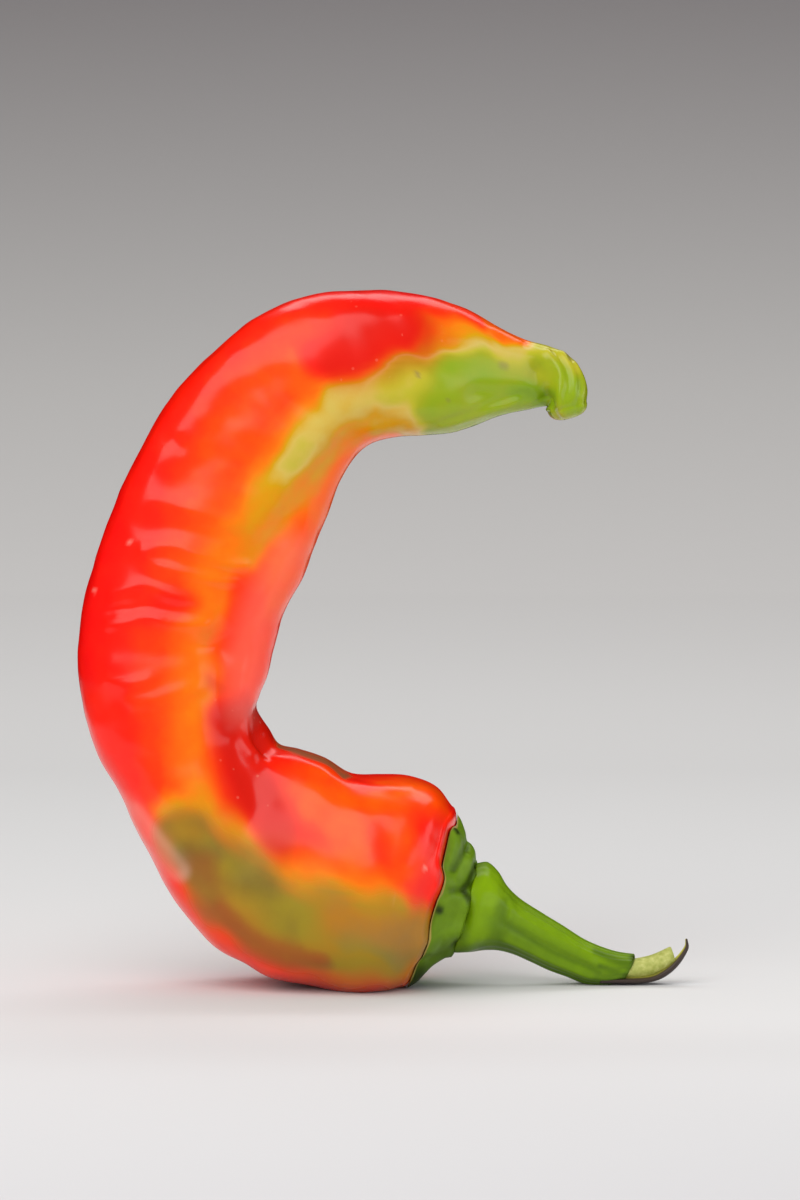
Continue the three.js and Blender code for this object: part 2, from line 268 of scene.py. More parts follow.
# Ripeness runs from 0, leaf green, to 1, full red. Each stroke has its ripeness, its half width,
# its softness and its line. Later strokes lie over earlier ones.
FRONT_RIPENESS = [
    (0.70, 13.0, 1.0, [(310, 380), (262, 432), (240, 480), (228, 530), (218, 580), (210, 640), (202, 700),
                       (205, 760), (222, 800)]),
    (0.76, 5.0, 0.8, [(275, 400), (235, 440), (215, 475)]),
    (0.61, 4.4, 1.0, [(240, 545), (216, 585), (207, 640), (200, 690), (200, 740), (212, 785)]),
    (0.54, 1.8, 1.0, [(213, 694), (214, 712)]),
    (0.56, 2.4, 1.0, [(205, 775), (222, 790), (240, 812)]),
    (0.90, 3.0, 0.9, [(180, 598), (160, 600), (140, 600)]),
    (0.82, 4.0, 0.9, [(276, 570), (252, 615), (244, 665), (243, 700)]),
    (0.64, 5.0, 0.9, [(395, 440), (372, 442), (345, 470), (322, 505), (300, 540)]),
    (0.72, 4.6, 0.9, [(302, 540), (284, 580), (272, 610)]),
    (0.82, 4.0, 0.9, [(268, 630), (260, 660), (254, 690)]),
    (0.83, 3.0, 0.9, [(252, 592), (240, 632)]),
    (0.92, 4.6, 0.8, [(236, 715), (240, 745), (252, 780)]),
    (0.90, 6.0, 0.7, [(262, 770), (275, 800), (285, 830)]),
    (0.72, 6.0, 0.7, [(315, 785), (340, 805), (352, 840)]),
    (0.66, 4.0, 0.9, [(385, 792), (410, 790), (430, 800)]),
    (0.92, 5.6, 0.8, [(415, 825), (428, 850), (432, 880)]),
    (0.76, 3.6, 0.9, [(396, 805), (400, 835), (402, 862)]),
    (0.64, 3.6, 1.0, [(270, 835), (300, 855), (335, 862), (375, 878)]),
    (0.52, 2.8, 0.9, [(165, 800), (200, 800), (228, 815), (252, 840), (280, 862), (315, 875), (350, 880),
                      (395, 893)]),
    (0.90, 4.5, 0.7, [(105, 700), (120, 780), (150, 860), (185, 925), (230, 958), (280, 972), (325, 978)]),
    (0.80, 2.6, 0.9, [(190, 885), (215, 925), (245, 955), (290, 968), (325, 972)]),
    (0.95, 3.0, 0.6, [(335, 985), (380, 988), (412, 975), (428, 950)]),
    (0.93, 4.4, 0.5, [(326, 352), (360, 346), (392, 334), (415, 320)]),
    (0.42, 2.6, 0.6, [(332, 396), (362, 390), (394, 378), (415, 364)]),
    (0.23, 8.2, 0.45, [(412, 394), (440, 388), (480, 380), (530, 378), (568, 385)]),
    (0.22, 3.2, 0.9, [(404, 382), (428, 364), (455, 356), (484, 352)]),
    (0.13, 3.4, 0.9, [(452, 368), (478, 373), (500, 384)]),
    (0.16, 4.0, 0.8, [(432, 402), (460, 402), (500, 400), (545, 400)]),
    (0.09, 2.0, 0.9, [(520, 388), (545, 396)]),
    (0.15, 2.6, 0.9, [(430, 430), (455, 428), (480, 419), (510, 407)]),
    (0.14, 3.0, 0.9, [(560, 356), (572, 378), (572, 402)]),
    (0.46, 2.2, 0.9, [(425, 340), (450, 336), (470, 336)]),
    (0.38, 2.0, 0.9, [(468, 334), (492, 340), (520, 350)]),
    (0.62, 3.0, 0.9, [(432, 322), (455, 314), (478, 314)]),
    (0.54, 2.0, 0.9, [(450, 331), (468, 327), (488, 328)]),
    (0.84, 1.8, 0.9, [(432, 304), (458, 308), (480, 318)]),
    (0.68, 1.5, 0.8, [(490, 318), (512, 334), (534, 340)]),
    (0.30, 1.8, 0.8, [(538, 344), (560, 350), (575, 362)]),
    (0.40, 4.6, 0.85, [(368, 398), (348, 404), (327, 418), (309, 440), (293, 462), (280, 482)]),
    (0.36, 2.4, 0.9, [(302, 440), (292, 458), (284, 472)]),
    (0.50, 3.4, 1.0, [(276, 490), (262, 506), (250, 520)]),
    (0.49, 1.8, 0.8, [(400, 402), (372, 414), (352, 432), (333, 455), (310, 480)]),
    (0.53, 2.4, 0.9, [(310, 480), (290, 505), (266, 530), (248, 550)]),
    (0.32, 2.6, 0.9, [(396, 394), (406, 386), (416, 376)]),
    (0.66, 2.6, 0.9, [(385, 436), (364, 446), (345, 470), (328, 496)]),
    (0.46, 1.8, 0.9, [(378, 424), (400, 418), (415, 428)]),
]
# The unripe patch on the belly, where green still lies over the red, and its tone from
# 0, purplish brown, through 0.5, olive, to 1, tan.
FRONT_OLIVE = [
    (1.0, 6.0, 0.6, [(196, 836), (222, 858), (252, 882)]),
    (1.0, 7.4, 0.5, [(240, 884), (268, 902), (300, 910), (320, 915)]),
    (1.0, 8.4, 0.5, [(335, 925), (360, 930), (390, 932)]),
    (0.85, 4.4, 0.7, [(345, 902), (380, 908), (412, 922)]),
    (0.9, 2.6, 0.9, [(174, 818), (196, 822)]),
    (0.90, 3.8, 0.8, [(206, 862), (226, 892), (250, 915)]),
    (0.80, 2.4, 0.9, [(222, 902), (246, 924), (284, 937), (322, 943)]),
    (0.9, 0.7, 0.8, [(280, 742), (310, 748), (330, 758), (346, 771)]),
]
FRONT_TONE = [
    (0.45, 8.0, 0.9, [(205, 830), (240, 860), (270, 900)]),
    (0.58, 3.0, 0.9, [(186, 826), (196, 836)]),
    (0.32, 3.0, 1.0, [(194, 852), (210, 858)]),
    (0.56, 3.0, 0.9, [(234, 856), (246, 866)]),
    (0.45, 3.4, 1.0, [(262, 872), (276, 886)]),
    (0.68, 4.4, 0.9, [(240, 908), (264, 918)]),
    (0.60, 4.0, 0.9, [(290, 892), (312, 900)]),
    (0.84, 3.0, 0.9, [(318, 878), (345, 888)]),
    (0.75, 3.4, 0.9, [(365, 898), (400, 910)]),
    (0.92, 7.0, 0.9, [(350, 928), (400, 932)]),
    (1.00, 4.0, 0.9, [(385, 935), (418, 935)]),
    (0.70, 3.0, 0.9, [(350, 960), (380, 968)]),
    (0.34, 2.8, 0.9, [(216, 904), (242, 928), (282, 942), (322, 948)]),
    (0.10, 1.6, 0.8, [(284, 746), (310, 751), (330, 762), (346, 774)]),
]
# Painted shade: a darker red where shade falls, in the creases, along the crack by the calyx, under
# the belly and on the top of the arm, whose gloss mirrors no lamp; one short stroke is a small dark notch.
FRONT_PAINTED_SHADE = [
    (0.75, 5.4, 0.8, [(355, 328), (385, 330), (415, 332)]),
    (0.60, 4.6, 0.8, [(340, 362), (370, 356), (392, 348)]),
    (0.90, 4.0, 0.9, [(232, 712), (236, 745), (250, 790)]),
    (0.85, 4.0, 0.9, [(266, 778), (274, 805), (278, 828)]),
    (1.00, 3.0, 0.8, [(262, 716), (262, 738)]),
    (0.45, 1.4, 0.9, [(212, 674), (222, 680)]),
    (0.85, 2.8, 0.9, [(285, 978), (335, 984), (400, 984)]),
    (0.90, 0.9, 0.9, [(446, 826), (441, 851), (443, 876), (437, 890), (430, 907)]),
    (0.70, 0.9, 0.9, [(430, 907), (427, 930), (425, 948), (413, 970)]),
]
# Painted reflection and pale specks: a pale pink streak by the lower left edge, where the skin would
# mirror the floor, and a faint sheen down the inner face, both painted; and small pale corky specks.
FRONT_REFLECTION_AND_SPECKS = [
    (0.50, 1.6, 0.9, [(136, 806), (158, 834), (182, 862)]),
    (0.18, 2.8, 0.9, [(128, 805), (155, 838), (174, 858)]),
    (0.12, 3.4, 0.9, [(290, 545), (266, 590), (250, 640), (244, 700)]),
    (0.45, 0.4, 0.7, [(393, 881), (394, 882)]),
    (0.35, 0.4, 0.7, [(424, 855), (425, 856)]),
    (0.30, 0.4, 0.7, [(133, 537), (134, 538)]),
    (0.25, 0.4, 0.7, [(97, 585), (98, 586)]),
]
FRONT_SCARS = [
    (0.6, 0.4, 0.7, [(417, 370), (418, 372)]),
    (0.4, 0.7, 0.8, [(501, 362), (504, 363)]),
    (0.3, 0.4, 0.7, [(447, 396), (448, 397)]),
    (0.35, 0.5, 0.8, [(566, 350), (569, 356)]),
]
# The hidden back ripens a little unlike the front.
BACK_RIPENESS = [
    (0.76, 10.0, 0.9, [(240, 395), (205, 520), (205, 680), (230, 800)]),
    (0.62, 7.0, 0.7, [(470, 345), (430, 375), (370, 400), (335, 440)]),
    (0.36, 5.0, 0.7, [(490, 375), (440, 395), (400, 402), (370, 415)]),
    (0.22, 8.0, 0.5, [(460, 388), (500, 380), (530, 378), (568, 385)]),
    (0.62, 3.6, 0.9, [(250, 540), (225, 600), (215, 680), (225, 760)]),
    (0.58, 4.0, 0.8, [(200, 800), (260, 830), (330, 850), (400, 870)]),
    (0.26, 4.0, 0.9, [(432, 426), (470, 424), (510, 407)]),
]
BACK_OLIVE = [
    (1.0, 6.5, 0.6, [(215, 850), (270, 890), (330, 915)]),
    (1.0, 5.5, 0.6, [(340, 905), (395, 925)]),
    (0.9, 1.4, 0.8, [(278, 743), (310, 750), (340, 766)]),
]
BACK_TONE = [
    (0.7, 6.0, 0.7, [(250, 880), (300, 900)]),
    (0.9, 6.0, 0.7, [(370, 915), (410, 915)]),
    (0.1, 4.0, 0.8, [(278, 748), (340, 774)]),
]

# Fields painted on the pod: the value to start from, the back's strokes, the front's strokes, and
# whether the strokes' edges drift a little.
POD_PAINT = {
    "ripeness": (1.0, BACK_RIPENESS, FRONT_RIPENESS, True),
    "olive": (0.0, BACK_OLIVE, FRONT_OLIVE, True),
    "tone_and_shading": (0.5, BACK_TONE, FRONT_TONE, True),
    # The painted shade: a darker red where shade falls.
    "deep": (0.0, [], FRONT_PAINTED_SHADE, True),
    # Painted reflection, with small pale specks among it.
    "reflection_and_specks": (0.0, [], FRONT_REFLECTION_AND_SPECKS, False),
    "scar": (0.0, [], FRONT_SCARS, False),
}
COLOUR_DRIFT = {"wavelength": 9, "reach": 0.6, "seeds": (11, 12)}
MIDDLE_TONE = 0.5
# Where paint fades in from side to side: the sine of the angle round the section, 1 in front.
FRONT_FADE = (-0.2, 0.1)
BACK_FADE = (-0.1, 0.2)
GREEN_FADE = (-0.1, 0.2)

# Sizes of the materials' patterns in millimetres. The fine ones are drawn coarser than the real
# grain and fibre, so that they show in the render.
PIGMENT_BLOTCH = 4.167
SPECK_GAP = 2.381
SKIN_GRAIN = 1.111
CALYX_MOTTLE = 2.5
STEM_MOTTLE = 2.0
PITH_FIBRE = 1.111

# Colours along the pod's ripeness, along the tone of its unripe patch, and along the greens' painted
# light and shade.
RIPENING = [(0.02, "#6f9410"), (0.12, "#86a416"), (0.22, "#9fa51c"), (0.31, "#b9b12c"),
            (0.39, "#ceb252"), (0.47, "#cf9a08"), (0.54, "#e48206"), (0.62, "#f66c02"),
            (0.70, "#fc5600"), (0.79, "#fb3a02"), (0.89, "#f91e06"), (1.0, "#f20804")]
UNRIPE = [(0.0, "#84502c"), (0.22, "#74501a"), (0.45, "#806a14"), (0.64, "#94800e"),
          (0.82, "#9c7c0c"), (1.0, "#88792c")]
CALYX_GREENS = [(0.0, "#1c2608"), (0.25, "#40580a"), (0.5, "#5c7c0e"), (0.75, "#729416"),
                (1.0, "#86ac34")]
STEM_GREENS = [(0.0, "#34420c"), (0.25, "#4d6a10"), (0.5, "#62820e"), (0.75, "#72940a"),
               (1.0, "#7ca002")]
# The colour sockets of a Mix node.
MIX_UNDER, MIX_OVER, MIX_RESULT = 6, 7, 2

# The studio, in metres. The tabletop's left, right, front and back: only it shows in the gloss.
TABLETOP = (-0.25, 0.6, -0.13, 0.45)
PAPER_HALF_WIDTH = 2.6
PAPER_FRONT = -2.4
SWEEP_START = 1.3
SWEEP_RADIUS = 0.6
SWEEP_STEPS = 24
WALL_TOP = 2.6
# Painted shade on the paper: where it starts and ends along the paper's height and depth, and the
# greys between, which darken the paper as it climbs, standing in for the light falling off.
PAPER_SHADING_SPAN = (-0.3, 2.2)
PAPER_PAINTED_SHADES = [(0.0, "#c5c4c5"), (0.1, "#d6d6d5"), (0.3, "#c5c4c2"), (0.65, "#cbc9c6"),
               (0.8, "#b0aeab"), (1.0, "#706c6c")]
# Lamps: name, place, aim, width, height, watts, tint, and whether the pepper's gloss mirrors them.
SOFTBOXES = [
    ("front_softbox", (-0.28, -0.56, 0.58), (-0.01, 0.0, 0.07), 0.7, 0.95, 5.4, "#fffdfa", True),
    ("side_card", (0.56, -0.2, 0.11), (-0.01, 0.0, 0.11), 1.0, 0.22, 1.1, "#ffffff", True),
    ("rear_softbox", (0.12, 0.55, 0.72), (-0.01, 0.0, 0.07), 0.8, 0.35, 1.6, "#ffffff", True),
    ("paper_softbox", (0.0, 1.0, 1.5), (0.0, 1.7, 0.1), 3.0, 0.5, 16.0, "#ffffff", False),
]
AIR_STRENGTH = 0.66
# The camera looks at about the middle of the photograph's frame, which is 1200 rows of 0.2 mm high.
CAMERA_DISTANCE = 1.0
CAMERA_ELEVATION = np.radians(3.5)
CAMERA_AIM = (0.0031, 0.0, 0.0773)
FRAME_HEIGHT = 0.24
SENSOR_HEIGHT = 36


def on_part(line):
    """Turns (column, row) pixels of the photograph into (x, z) in millimetres."""
    column, row = np.array(line, float).T
    return np.stack([column - ORIGIN_COLUMN, GROUND_ROW - row], axis=1) * MM_PER_PIXEL


def smooth_curve(points, shares):
    """Points of a centripetal curve through all the given points, at shares from 0 to 1."""
    padded = np.vstack([2 * points[0] - points[1], points, 2 * points[-1] - points[-2]])
    spans = np.sqrt(np.linalg.norm(np.diff(padded, axis=0), axis=1))
    at = shares * (len(points) - 1)
    first = np.minimum(at.astype(int), len(points) - 2)
    w = (at - first)[:, None]
    a, b, c, d = (padded[first + i] for i in range(4))
    before, here, after = (spans[first + i][:, None] for i in range(3))
    leave = ((b - a) / before - (c - a) / (before + here) + (c - b) / here) * here
    reach = ((c - b) / here - (d - b) / (here + after) + (d - c) / after) * here
    bend = 3 * (c - b) - 2 * leave - reach
    return b + leave * w + bend * w**2 + (2 * (b - c) + leave + reach) * w**3


def ease(value, low, high):
    """0 below low, 1 above high, and a smooth step between."""
    t = np.clip((value - low) / (high - low), 0, 1)
    return t * t * (3 - 2 * t)


def squared(value, power):
    """A sine or cosine drawn out towards its ends, which makes an oval a little squarer."""
    return np.sign(value) * np.abs(value) ** power


def wobble(points, wavelength, seed):
    """A smooth random field of about -1 to 1 whose swells are a wavelength apart."""
    rng = np.random.default_rng(seed)
    heading = rng.normal(size=(WOBBLE["waves"], 3))
    heading /= np.linalg.norm(heading, axis=1)[:, None]
    pace = rng.uniform(*WOBBLE["pace"], WOBBLE["waves"]) * 2 * np.pi / wavelength
    phase = rng.uniform(0, 2 * np.pi, WOBBLE["waves"])
    waves = np.sin(points @ (heading * pace[:, None]).T + phase)
    return waves.sum(axis=-1) / WOBBLE["spread"]


def random_swells(points, swells):
    """The sum of smooth random fields, each with its height, wavelength and seed."""
    return sum(height * wobble(points, wavelength, seed) for height, wavelength, seed in swells)


def away_from(spots, line):
    """Distance of each (x, z) spot from a smooth line through pixels of the photograph."""
    path = smooth_curve(on_part(line), np.linspace(0, 1, STEPS_PER_POINT * len(line)))
    nearest = np.full(len(spots), np.inf)
    for a, b in zip(path[:-1], path[1:]):
        along = np.clip(((spots - a) @ (b - a)) / ((b - a) @ (b - a)), 0, 1)
        nearest = np.minimum(nearest, np.linalg.norm(spots - a - along[:, None] * (b - a), axis=1))
    return nearest


def fold_heights(spots, folds):
    """Height of a set of relief lines at each spot."""
    total = np.zeros(len(spots))
    for height, width, line in folds:
        total += height * np.exp(-((away_from(spots, line) / width) ** 2))
    return total


def brushed(spots, value, strokes, mask):
    """A field after brush strokes that each pull it towards their own value."""
    for target, width, softness, line in strokes:
        away = away_from(spots, line)
        cover = 1 - ease(away, width * (1 - softness), width * (1 + softness))
        value = value + (target - value) * cover * mask
    return value


class Skin:
    """A closed skin over a table of ribs: a grid of rings and sides with a pole at each end."""

    def __init__(self, ribs, neck, tip, grid, power=GREEN_SQUARENESS, swell=None, sway=None, grow=0.0):
        ribs = np.array(ribs, float)
        rings, sides = grid
        along = np.linspace(0, 1, rings + 1)
        around = np.linspace(0, 2 * np.pi, sides, endpoint=False)
        share = np.clip((along - neck["share"]) / (1 - neck["share"] - tip["share"]), 0, 1)
        outer = smooth_curve(ribs[:, [0, 1, 4]], share)
        inner = smooth_curve(ribs[:, [2, 3, 4]], share)
        middle = (outer + inner)[:, :2] / 2
        span = (outer - inner)[:, :2] / 2
        length = np.linalg.norm(span, axis=1)
        across = span / length[:, None]
        onward = np.stack([across[:, 1], -across[:, 0]], axis=1)
        at_neck = along < neck["share"]
        reach = np.where(at_neck, along / neck["share"], (1 - along) / tip["share"])
        turn = np.pi / 2 * np.clip(reach, 0, 1)
        size = np.maximum(np.sin(turn), 0) ** np.where(at_neck, neck["fullness"], tip["fullness"])
        rise = (np.where(at_neck, neck["rise"], tip["rise"]) + grow) * np.cos(turn)
        centre = middle + onward * (rise * np.where(at_neck, -1, 1))[:, None]

        self.rings, self.sides = rings, sides
        self.along = np.repeat(along, sides)
        self.around = np.tile(around, rings + 1)
        flat = middle[:, None] + span[:, None] * np.cos(around)[None, :, None]
        self.spots = flat.reshape(-1, 2)
        lift = grow if swell is None else grow + swell(self).reshape(rings + 1, sides)
        wide = (length[:, None] + lift) * size[:, None] * squared(np.cos(around), power)
        xz = centre[:, None] + across[:, None] * wide[..., None]
        if sway is not None:
            xz += onward[:, None] * sway(self).reshape(rings + 1, sides)[..., None]
        y = -(outer[:, 2][:, None] + lift) * size[:, None] * squared(np.sin(around), power)
        self.points = np.stack([xz[..., 0], y, xz[..., 1]], axis=-1).reshape(-1, 3)

    def faces(self):
        """Quads between neighbouring rings, and triangles round each pole."""
        n = self.sides
        last_ring = self.rings - 1
        pole = 1 + last_ring * n

        def corner(ring, side):
            return 1 + (ring - 1) * n + side % n

        quads = [
            (corner(r, s), corner(r, s + 1), corner(r + 1, s + 1), corner(r + 1, s))
            for r in range(1, last_ring)
            for s in range(n)
        ]
        neck = [(0, corner(1, s + 1), corner(1, s)) for s in range(n)]
        tip = [(pole, corner(last_ring, s), corner(last_ring, s + 1)) for s in range(n)]
        return quads + neck + tip

    def facing(self, spread=0.0):
        """1 on the side that faces the camera, 0 on the back, and a fade between."""
        return np.clip(2 * np.sin(self.around) + spread, 0, 1)

    def pick(self, values):
        """Values of the grid with each pole kept once, in the order of the mesh's vertices."""
        n = self.sides
        return np.concatenate([values[:1], values[n : n * self.rings], values[-1:]])


def make_mesh(name, skin, fields=None, points=None):
    """A mesh object from a skin, in metres, with its painted fields as vertex attributes."""
    mesh = bpy.data.meshes.new(name)
    corners = skin.pick(skin.points if points is None else points) * MM
    mesh.from_pydata(corners.tolist(), [], skin.faces())
    mesh.shade_smooth()
    for field, values in (fields or {}).items():
        layer = mesh.attributes.new(field, "FLOAT", "POINT")
        layer.data.foreach_set("value", skin.pick(values).astype(np.float32))
    piece = bpy.data.objects.new(name, mesh)
    bpy.context.scene.collection.objects.link(piece)
    return piece


def stand_on_ground(points):
    """Flattens whatever would reach below the ground that the pepper rests on."""
    points[:, 2] = np.maximum(points[:, 2], 0)
    return points


def pod_swell(skin):
    """How far the pod's skin stands off its ribs: creases, wrinkles, nose ridges and shoulder."""
    nose = ease(skin.along, NOSE_RIDGES["start"], 1)
    swell = fold_heights(skin.spots, FRONT_FOLDS + FRONT_WRINKLES) * skin.facing()
    swell += NOSE_RIDGES["height"] * nose * np.cos(NOSE_RIDGES["count"] * skin.around)
    edge = ease(np.abs(np.cos(skin.around)), *SHOULDER["edge"])
    drop = SHOULDER["drop"] * (1 - SHOULDER["less_at_edge"] * edge)
    swell -= drop * (1 - ease(skin.along, POD_NECK["share"], POD_NECK["share"] + SHOULDER["share"]))
    depth = POD_HALF_DEPTH * np.sin(skin.around)
    place = np.stack([skin.spots[:, 0], depth, skin.spots[:, 1]], axis=1)
    return swell + (1 - NOSE_RIDGES["calm"] * nose) * random_swells(place, POD_SWELLS)


def pod_sway(skin):
    """Pushes the shoulder round the calyx out and in, so that its edge runs in waves."""
    waves = skin.facing() * (SHOULDER["shift"] + fold_heights(skin.spots, SHOULDER_WAVES))
    return waves * (1 - ease(skin.along, *SHOULDER["waves_end"]))


def make_pod():
    skin = Skin(POD_RIBS, POD_NECK, POD_TIP, POD_GRID, POD_SQUARENESS, pod_swell, pod_sway)
    points = stand_on_ground(skin.points)
    drift = [wobble(points, COLOUR_DRIFT["wavelength"], seed) for seed in COLOUR_DRIFT["seeds"]]
    crisp = points[:, [0, 2]]
    drifting = crisp + COLOUR_DRIFT["reach"] * np.stack(drift, axis=1)
    side = np.sin(skin.around)
    front, back = ease(side, *FRONT_FADE), ease(-side, *BACK_FADE)
    fields = {}
    for field, (start, back_strokes, front_strokes, drifts) in POD_PAINT.items():
        spots = drifting if drifts else crisp
        values = brushed(spots, np.full(len(points), start), back_strokes, back)
        fields[field] = brushed(spots, values, front_strokes, front)
    pod = make_mesh("pod_skin", skin, fields)
    pod.data.materials.append(waxy_pod_skin())
    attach(pod, "root")
    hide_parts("pod")


def solid_tree(skin):
    """A search tree over a skin's mesh, in millimetres."""
    points = skin.pick(skin.points)
    return BVHTree.FromPolygons([Vector(p) for p in points], skin.faces())


def pushed_out(points, tree):
    """Moves the points that lie inside a closed skin onto it, and gives how far the rest are off."""
    moved = points.copy()
    off = np.zeros(len(points))
    for i, point in enumerate(points):
        spot, normal, _, away = tree.find_nearest(Vector(point))
        if (Vector(point) - spot).dot(normal) < 0:
            moved[i] = spot
        else:
            off[i] = away
    return moved, off


def painted_front_shading(skin, strokes):
    """A green piece's painted light and shade: middling all round, with brush strokes on its front."""
    front = ease(np.sin(skin.around), *GREEN_FADE)
    return brushed(skin.spots, np.full(len(skin.spots), MIDDLE_TONE), strokes, front)


def calyx_swell(skin):
    """How far the calyx stands off its ribs: lobes, lumps, creases and the fuller underside."""
    swell = CALYX_LOBES["height"] * np.cos(CALYX_LOBES["count"] * skin.around + CALYX_LOBES["turn"])
    swell += skin.facing(CALYX_FOLD_SPREAD) * fold_heights(skin.spots, CALYX_FOLDS)
    swell += CALYX_UNDERSIDE["height"] * ease(-np.cos(skin.around), CALYX_UNDERSIDE["start"], 1)
    ring = [CALYX_RADIUS * np.cos(skin.around), CALYX_RADIUS * np.sin(skin.around)]
    place = np.stack([*ring, CALYX_LENGTH * skin.along], axis=1)
    return swell + random_swells(place, CALYX_SWELLS)


def make_calyx():
    skin = Skin(CALYX_RIBS, CALYX_NECK, CALYX_TIP, CALYX_GRID, swell=calyx_swell)
    pod = Skin(POD_RIBS, POD_NECK, POD_TIP, POD_CAP_GRID, POD_SQUARENESS, pod_swell, pod_sway, GAP)
    points, off = pushed_out(skin.points, solid_tree(pod))
    fields = {"tone_and_shading": painted_front_shading(skin, CALYX_PAINTED_SHADING), "rim": 1 - ease(off, *CALYX_RIM)}
    calyx = make_mesh("calyx_collar", skin, fields, stand_on_ground(points))
    calyx.data.materials.append(leathery_calyx_green())
    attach(calyx, "root")
    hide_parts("calyx")
    return skin


def stem_swell(skin):
    """How far the stem stands off its ribs: broad ridges, folds of its front and fine fibres."""
    swell = STEM_RIDGES["height"] * np.cos(STEM_RIDGES["count"] * skin.around + STEM_RIDGES["turn"])
    swell += skin.facing() * fold_heights(skin.spots, STEM_FOLDS)
    fibres = STEM_FIBRES["count"] * skin.around + STEM_FIBRES["twist"] * skin.along
    return swell + STEM_FIBRES["height"] * np.cos(fibres)


def make_stem(calyx_skin):
    skin = Skin(STEM_RIBS, STEM_NECK, STEM_TIP, STEM_GRID, swell=stem_swell)
    points, _ = pushed_out(skin.points, solid_tree(calyx_skin))
    tone_and_shading = painted_front_shading(skin, STEM_PAINTED_SHADING)
    stalk = make_mesh("stem_stalk", skin, {"tone_and_shading": tone_and_shading}, stand_on_ground(points))
    stalk.data.materials.append(ribbed_stem_green())
    pith = make_mesh("stem_pith", Skin(PITH_RIBS, TORN_NECK, TORN_TIP, PITH_GRID))
    pith.data.materials.append(pale_pith())
    peel_skin = Skin(PEEL_RIBS, TORN_NECK, TORN_TIP, PEEL_GRID)
    under = 0.5 - 0.5 * np.cos(peel_skin.around)
    peel = make_mesh("stem_peel", peel_skin, {"under": under}, stand_on_ground(peel_skin.points))
    peel.data.materials.append(torn_peel())
    for piece in (stalk, pith, peel):
        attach(piece, "root")
        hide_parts("stem")


def srgb(value):
    """Linear colour of an sRGB hex value."""
    parts = [int(value[i : i + 2], 16) / 255 for i in (1, 3, 5)]
    return [p / 12.92 if p <= 0.04045 else ((p + 0.055) / 1.055) ** 2.4 for p in parts] + [1.0]


def pattern_scale(size):
    """A texture's scale for a pattern whose cells are a size in millimetres."""
    return 1 / (size * MM)


def add_node(tree, kind, inputs=None, **settings):
    """A shader node with its settings, its input values and its links."""
    made = tree.nodes.new(kind)
    for name, value in settings.items():
        setattr(made, name, value)
    for name, value in (inputs or {}).items():
        socket = made.inputs[name]
        if isinstance(value, bpy.types.NodeSocket):
            tree.links.new(value, socket)
        else:
            socket.default_value = value
    return made


def new_material(name):
    material = bpy.data.materials.new(name)
    material.use_nodes = True
    material.node_tree.nodes.clear()
    return material, material.node_tree


def set_stops(ramp, stops):
    """Gives a colour ramp its stops as (place, hex value) pairs."""
    elements = ramp.color_ramp.elements
    while len(elements) < len(stops):
        elements.new(1.0)
    for element, (place, value) in zip(elements, stops):
        element.position = place
        element.color = srgb(value)


def shifted_colour(tree, field, pattern, share, stops):
    """Colours read along a painted field, which a random pattern shifts up and down by a share."""
    centred = add_node(tree, "ShaderNodeMath", {0: pattern, 1: 0.5}, operation="SUBTRACT")
    shifted = add_node(tree, "ShaderNodeMath", {0: centred.outputs[0], 1: share, 2: field},
                       operation="MULTIPLY_ADD")
    ramp = add_node(tree, "ShaderNodeValToRGB", {"Fac": shifted.outputs[0]})
    set_stops(ramp, stops)
    return ramp.outputs["Color"]


